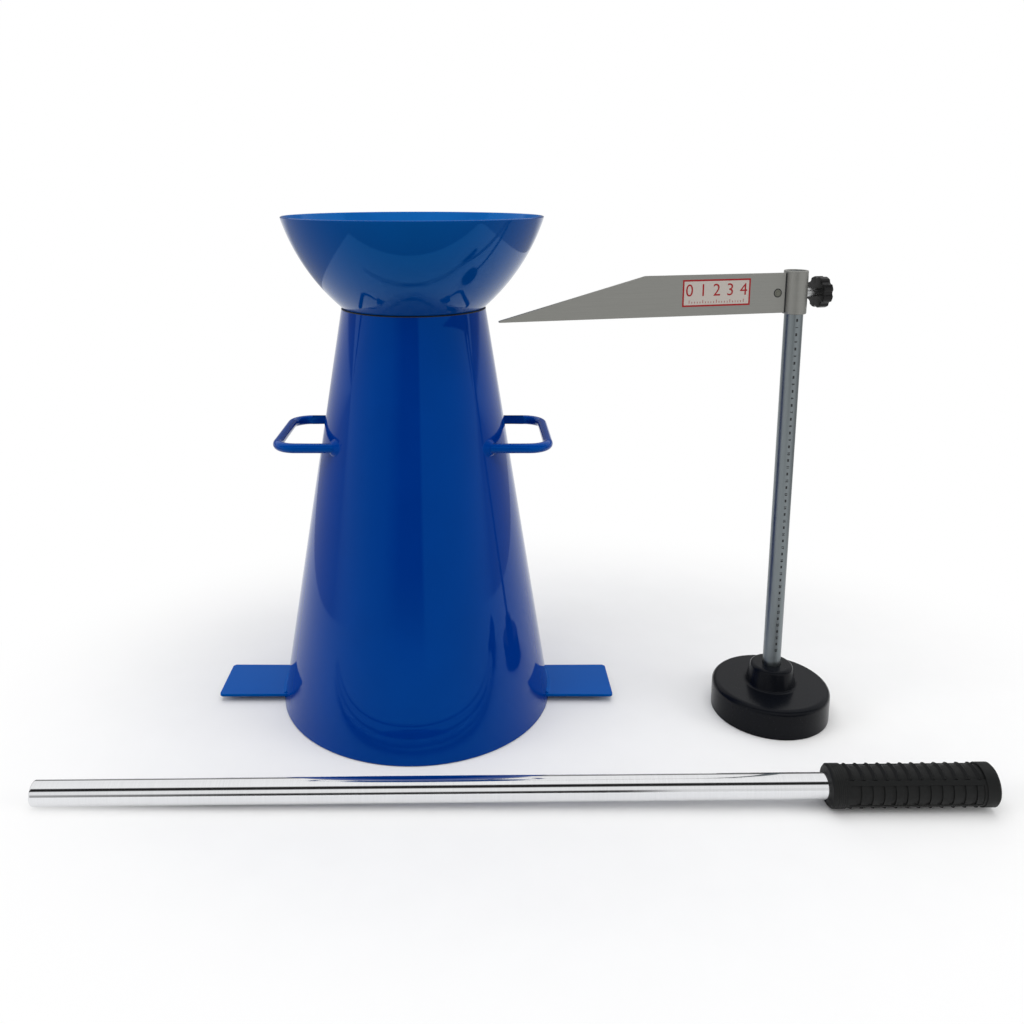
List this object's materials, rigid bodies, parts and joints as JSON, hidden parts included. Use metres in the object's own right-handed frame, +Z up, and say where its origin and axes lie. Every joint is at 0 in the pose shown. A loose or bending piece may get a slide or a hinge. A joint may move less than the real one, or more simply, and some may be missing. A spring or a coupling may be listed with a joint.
{
  "type": "slump cone",
  "caption": "Steel slump cone mould with foot plates and side handles, a lift-off pouring funnel, a post gauge with sliding blade, and a tamping rod with rubber grip.",
  "frame": {"origin": "on the ground, at the centre of the cone's lower edge", "axes": "+Z up along the cone's axis, +X towards the gauge and along the tamping rod, -Y towards the tamping rod's side"},
  "size_m": [0.6062, 0.2561, 0.365],
  "materials": {
    "blue_paint": "glossy blue paint on steel sheet",
    "black_casting": "semi-gloss black paint on cast iron",
    "post_steel": "drawn steel tube with a printed scale",
    "satin_steel": "satin sheet steel",
    "zinc_steel": "zinc-plated steel",
    "black_plastic": "moulded black plastic",
    "rod_chrome": "bright chrome-plated steel",
    "black_rubber": "moulded black rubber"
  },
  "bodies": {
    "mould": {"cone_shell": "blue_paint", "seam_weld": "blue_paint", "left_handle": "blue_paint", "right_handle": "blue_paint", "handle_welds": "blue_paint", "left_foot_plate": "blue_paint", "right_foot_plate": "blue_paint", "foot_plate_welds": "blue_paint"},
    "funnel": {"funnel_bowl": "blue_paint", "funnel_spigot": "blue_paint", "funnel_weld": "blue_paint"},
    "gauge_stand": {"gauge_base": "black_casting", "post_tube": "post_steel", "post_plug": "zinc_steel", "base_screw": "zinc_steel", "base_washer": "zinc_steel"},
    "gauge_arm": {"slide_collar": "satin_steel", "gauge_blade": "satin_steel", "blade_rivet": "zinc_steel"},
    "clamp": {"clamp_screw": "zinc_steel", "clamp_knob": "black_plastic"},
    "tamping_rod": {"rod_bar": "rod_chrome", "rod_grip": "black_rubber"}
  },
  "joints": [
    {"name": "funnel_lift", "type": "slide", "parent": "mould", "child": "funnel", "axis": [0, 0, 1], "range_m": [0, 0.15]},
    {"name": "gauge_turn", "type": "hinge", "parent": "mould", "child": "gauge_stand", "pos_m": [0.265, -0.03, 0], "axis": [0, 0, 1], "range_deg": [0, 180]},
    {"name": "arm_slide", "type": "slide", "parent": "gauge_stand", "child": "gauge_arm", "axis": [0, 0, 1], "range_m": [-0.26, 0]},
    {"name": "clamp_turn", "type": "hinge", "parent": "gauge_arm", "child": "clamp", "pos_m": [0.265, -0.03, 0.3135], "axis": [0.9724, 0.2334, 0], "range_deg": [0, 450]},
    {"name": "rod_lift", "type": "slide", "parent": "mould", "child": "tamping_rod", "axis": [0, 0, 1], "range_m": [0, 0.25]}
  ]
}
